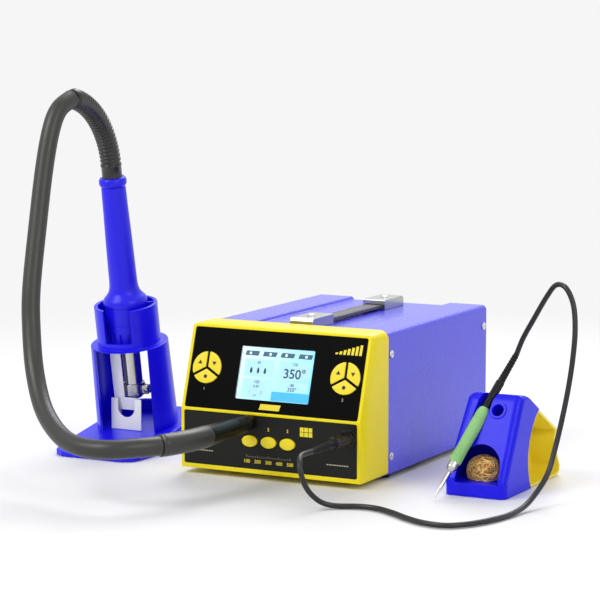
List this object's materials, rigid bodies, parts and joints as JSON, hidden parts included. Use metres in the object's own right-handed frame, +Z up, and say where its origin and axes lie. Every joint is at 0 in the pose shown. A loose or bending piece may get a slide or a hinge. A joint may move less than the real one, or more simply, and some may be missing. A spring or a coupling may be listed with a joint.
{
  "type": "hot air rework station",
  "caption": "Hot air rework station with a sloped control panel, a hot air gun in its cradle and a soldering iron on its stand.",
  "frame": {"origin": "on the table, under the middle of the box round everything but the hose, the cable and their end pieces", "axes": "+Z up, -Y towards the front panel, +X to the right as seen from the front, with the hot air gun at -X and the soldering iron at +X"},
  "size_m": [0.5238, 0.4623, 0.3546],
  "materials": {
    "violet_case": "satin",
    "yellow_bezel": "satin",
    "zinc_sheet": "satin",
    "rear_sheet": "satin",
    "black_overlay": "matte",
    "grey_overlay": "matte",
    "display_glass": "gloss",
    "module_grey": "matte",
    "circuit_green": "satin",
    "key_yellow": "satin",
    "black_rubber": "matte",
    "hose_rubber": "satin",
    "cable_rubber": "satin",
    "screw_steel": "polished",
    "bracket_chrome": "polished",
    "strap_grey": "satin",
    "black_plastic": "satin",
    "rocker_red": "gloss",
    "core_steel": "matte",
    "impeller_white": "satin",
    "motor_steel": "satin",
    "socket_metal": "satin",
    "gun_blue": "satin",
    "stand_blue": "satin",
    "iron_stand_blue": "satin",
    "stainless": "satin",
    "ceramic": "matte",
    "grip_green": "matte",
    "stand_yellow": "satin",
    "wool_brass": "satin"
  },
  "bodies": {
    "station": {"case_cover": "violet_case", "chassis_tray": "zinc_sheet", "rear_panel": "rear_sheet", "front_bezel": "yellow_bezel", "upper_panel": "black_overlay", "lower_panel": "grey_overlay", "display_window": "display_glass", "display_module": "module_grey", "key_board": "circuit_green", "rubber_feet": "black_rubber", "case_screws": "screw_steel", "handle_front_bracket": "bracket_chrome", "handle_rear_bracket": "bracket_chrome", "handle_screws": "screw_steel", "mains_inlet": "black_plastic", "fuse_holder": "black_plastic", "rocker_frame": "black_plastic", "fan_frame": "black_plastic", "main_board": "circuit_green", "transformer": "core_steel", "blower_housing": "black_plastic", "blower_motor": "motor_steel", "hose_socket": "socket_metal", "hose_boot": "black_rubber", "hose_sleeve": "hose_rubber", "air_hose": "hose_rubber", "cradle_foot": "stand_blue", "cradle_shell": "stand_blue", "heat_shield": "stainless", "iron_socket": "black_plastic", "iron_plug": "black_plastic", "iron_cable": "cable_rubber", "iron_stand_body": "iron_stand_blue", "iron_stand_bracket": "stand_yellow", "brass_wool": "wool_brass"},
    "carrying_strap": {"handle_strap": "strap_grey"},
    "air_up": {"air_up_key": "key_yellow"},
    "air_down": {"air_down_key": "key_yellow"},
    "air_set": {"air_set_key": "key_yellow"},
    "heat_up": {"heat_up_key": "key_yellow"},
    "heat_down": {"heat_down_key": "key_yellow"},
    "heat_set": {"heat_set_key": "key_yellow"},
    "channel_1": {"channel_1_button": "key_yellow"},
    "channel_2": {"channel_2_button": "key_yellow"},
    "channel_3": {"channel_3_button": "key_yellow"},
    "mains_rocker": {"power_rocker": "rocker_red"},
    "cooling_fan": {"fan_rotor": "black_plastic"},
    "air_impeller": {"blower_impeller": "impeller_white"},
    "hot_air_gun": {"bend_boot": "black_rubber", "gun_front_shell": "gun_blue", "gun_rear_shell": "gun_blue", "gun_collar": "gun_blue", "heater_tube": "stainless", "heater_core": "ceramic"},
    "gun_nozzle": {"nozzle": "stainless", "nozzle_screw": "screw_steel"},
    "soldering_iron": {"iron_tail": "black_rubber", "iron_grip": "grip_green", "iron_nose": "stainless"},
    "tip_cartridge": {"iron_cartridge": "stainless"}
  },
  "joints": [
    {"name": "strap_play", "type": "slide", "parent": "station", "child": "carrying_strap", "axis": [0, 1, 0], "range_m": [-0.003, 0.003]},
    {"name": "air_up_press", "type": "slide", "parent": "station", "child": "air_up", "axis": [0, 0.9527, -0.304], "range_m": [0, 0.0006], "stiffness_N_per_m": 900},
    {"name": "air_down_press", "type": "slide", "parent": "station", "child": "air_down", "axis": [0, 0.9527, -0.304], "range_m": [0, 0.0006], "stiffness_N_per_m": 900},
    {"name": "air_set_press", "type": "slide", "parent": "station", "child": "air_set", "axis": [0, 0.9527, -0.304], "range_m": [0, 0.0006], "stiffness_N_per_m": 900},
    {"name": "heat_up_press", "type": "slide", "parent": "station", "child": "heat_up", "axis": [0, 0.9527, -0.304], "range_m": [0, 0.0006], "stiffness_N_per_m": 900},
    {"name": "heat_down_press", "type": "slide", "parent": "station", "child": "heat_down", "axis": [0, 0.9527, -0.304], "range_m": [0, 0.0006], "stiffness_N_per_m": 900},
    {"name": "heat_set_press", "type": "slide", "parent": "station", "child": "heat_set", "axis": [0, 0.9527, -0.304], "range_m": [0, 0.0006], "stiffness_N_per_m": 900},
    {"name": "channel_1_press", "type": "slide", "parent": "station", "child": "channel_1", "axis": [0, 1, 0], "range_m": [0, 0.001], "stiffness_N_per_m": 700},
    {"name": "channel_2_press", "type": "slide", "parent": "station", "child": "channel_2", "axis": [0, 1, 0], "range_m": [0, 0.001], "stiffness_N_per_m": 700},
    {"name": "channel_3_press", "type": "slide", "parent": "station", "child": "channel_3", "axis": [0, 1, 0], "range_m": [0, 0.001], "stiffness_N_per_m": 700},
    {"name": "rocker_tilt", "type": "hinge", "parent": "station", "child": "mains_rocker", "pos_m": [-0.04675, 0.13825, 0.077], "axis": [1, 0, 0], "range_deg": [0, 16]},
    {"name": "fan_spin", "type": "hinge", "parent": "station", "child": "cooling_fan", "pos_m": [0.04925, 0.13975, 0.067], "axis": [0, 1, 0], "continuous": true},
    {"name": "impeller_spin", "type": "hinge", "parent": "station", "child": "air_impeller", "pos_m": [-0.03275, -0.01375, 0.04], "axis": [0, 0, 1], "continuous": true},
    {"name": "gun_lift", "type": "slide", "parent": "station", "child": "hot_air_gun", "axis": [0, -0.1736, 0.9848], "range_m": [0, 0.11], "deforming": ["air_hose"]},
    {"name": "nozzle_pull", "type": "slide", "parent": "hot_air_gun", "child": "gun_nozzle", "axis": [0, 0.1736, -0.9848], "range_m": [0, 0.018]},
    {"name": "iron_lift", "type": "slide", "parent": "station", "child": "soldering_iron", "axis": [0, 0, 1], "range_m": [0, 0.08], "deforming": ["iron_cable"]},
    {"name": "cartridge_pull", "type": "slide", "parent": "soldering_iron", "child": "tip_cartridge", "axis": [-0.2119, -0.6482, -0.7314], "range_m": [0, 0.03]}
  ]
}
